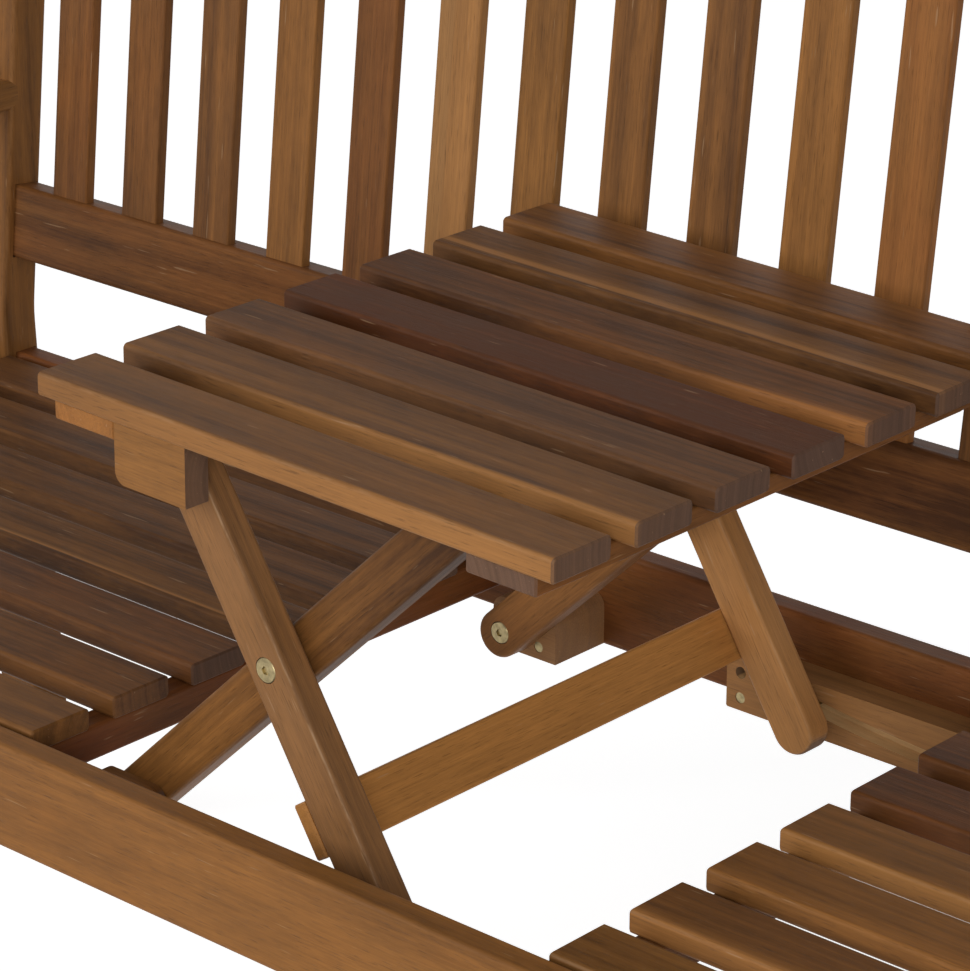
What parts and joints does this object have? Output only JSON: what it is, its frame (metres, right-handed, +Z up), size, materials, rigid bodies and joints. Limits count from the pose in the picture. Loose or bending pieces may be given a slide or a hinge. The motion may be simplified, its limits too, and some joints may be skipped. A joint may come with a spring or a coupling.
{
  "type": "companion seat bench",
  "caption": "Slatted wooden garden bench with armrests and a sloping slatted back; a slatted table between the seats rises on crossed legs or folds down flush with them.",
  "frame": {"origin": "middle of the bench's length and depth, on the ground that its feet stand on", "axes": "+X along the bench, to the right of someone who looks at its front; +Y from its front to its back; +Z up"},
  "size_m": [1.57, 0.5882, 0.9198],
  "materials": {
    "wood_frame": "oiled hardwood, satin",
    "wood_seat": "oiled hardwood, satin, each slat its own shade",
    "wood_back": "oiled hardwood, satin, each slat its own shade",
    "wood_table": "oiled hardwood, satin, each slat its own shade",
    "wood_leg": "oiled hardwood, satin",
    "wood_block": "oiled hardwood, satin, sawn ends",
    "brass": "satin, slightly dulled",
    "steel": "zinc plated, satin"
  },
  "bodies": {
    "frame": {"front_seat_rail": "wood_frame", "rear_seat_rail": "wood_frame", "front_leg_left": "wood_frame", "front_leg_right": "wood_frame", "back_post_left": "wood_frame", "back_post_right": "wood_frame", "side_rail_left": "wood_frame", "side_rail_right": "wood_frame", "armrest_left": "wood_frame", "armrest_right": "wood_frame", "back_lower_rail": "wood_back", "back_top_rail": "wood_back", "back_slats": "wood_back", "seat_bearers_left": "wood_block", "seat_bearers_right": "wood_block", "left_seat_slat_1": "wood_seat", "left_seat_slat_2": "wood_seat", "left_seat_slat_3": "wood_seat", "left_seat_slat_4": "wood_seat", "left_seat_slat_5": "wood_seat", "left_seat_slat_6": "wood_seat", "left_seat_slat_7": "wood_seat", "right_seat_slat_1": "wood_seat", "right_seat_slat_2": "wood_seat", "right_seat_slat_3": "wood_seat", "right_seat_slat_4": "wood_seat", "right_seat_slat_5": "wood_seat", "right_seat_slat_6": "wood_seat", "right_seat_slat_7": "wood_seat", "base_block_front": "wood_block", "base_block_rear": "wood_block", "guide_block_front": "wood_block", "guide_block_rear": "wood_block", "base_pivot_bolts": "brass", "rail_bolts": "steel", "frame_screws": "brass"},
    "inner_legs": {"inner_leg_front": "wood_leg", "inner_leg_rear": "wood_leg", "head_bar": "wood_block", "centre_bolts": "brass"},
    "outer_legs": {"outer_leg_front": "wood_leg", "outer_leg_rear": "wood_leg", "leg_stretcher": "wood_block", "foot_pins": "brass", "stretcher_screws": "brass"},
    "table": {"table_slat_1": "wood_table", "table_slat_2": "wood_table", "table_slat_3": "wood_table", "table_slat_4": "wood_table", "table_slat_5": "wood_table", "table_slat_6": "wood_table", "table_slat_7": "wood_table", "table_batten_left": "wood_block", "table_batten_right": "wood_block", "hinge_block_front": "wood_block", "hinge_block_rear": "wood_block", "top_pivot_bolts": "brass", "table_screws": "brass"}
  },
  "joints": [
    {"name": "table_rise", "type": "hinge", "parent": "frame", "child": "inner_legs", "pos_m": [-0.1713, -0.00662, 0.3823], "axis": [0, 1, 0], "range_deg": [0, 42.89]},
    {"name": "legs_cross", "type": "hinge", "parent": "inner_legs", "child": "outer_legs", "pos_m": [-0.03078, -0.00662, 0.51518], "axis": [0, 1, 0], "range_deg": [-96.5, 0]},
    {"name": "table_level", "type": "hinge", "parent": "outer_legs", "child": "table", "pos_m": [-0.10199, -0.00662, 0.6287], "axis": [0, 1, 0], "range_deg": [0, 52.9]}
  ],
  "couplings": [
    {"joint": "legs_cross", "follows": "table_rise", "ratio": -2.2455},
    {"joint": "table_level", "follows": "table_rise", "ratio": 1.2189}
  ]
}
